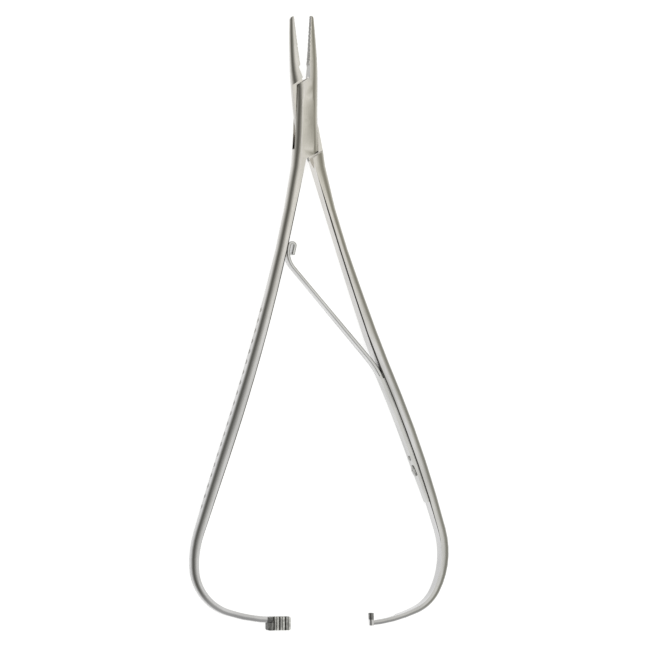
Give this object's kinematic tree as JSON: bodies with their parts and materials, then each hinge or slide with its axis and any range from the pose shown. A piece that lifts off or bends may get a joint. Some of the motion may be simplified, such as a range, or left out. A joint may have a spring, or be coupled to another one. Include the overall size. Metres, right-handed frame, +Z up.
{
  "type": "surgical needle holder",
  "caption": "Spring-handled surgical needle holder with a box joint, serrated jaws, curved handles, a leaf spring and an end ratchet.",
  "frame": {"origin": "on the pivot axis, in the plane that the box joint rests on", "axes": "+Y toward the jaw tips, +X to the right seen from above, +Z up from the resting plane along the pivot axis"},
  "size_m": [0.0736, 0.1698, 0.0065],
  "materials": {
    "satin_steel": "satin ground and polished stainless steel",
    "spring_steel": "polished spring steel strip",
    "fastener_steel": "machined stainless steel"
  },
  "bodies": {
    "box_body": {"box_lever": "satin_steel", "pivot_rivet": "satin_steel"},
    "tongue_body": {"tongue_lever": "satin_steel", "leaf_spring": "spring_steel", "spring_screw": "fastener_steel", "spring_locating_pin": "fastener_steel"}
  },
  "joints": [
    {"name": "pivot", "type": "hinge", "parent": "box_body", "child": "tongue_body", "pos_m": [0, 0, 0.00325], "axis": [0, 0, -1], "range_deg": [0, 8.9], "stiffness_Nm_per_rad": 2, "springref_deg": -1.15, "deforming": ["leaf_spring"]}
  ]
}
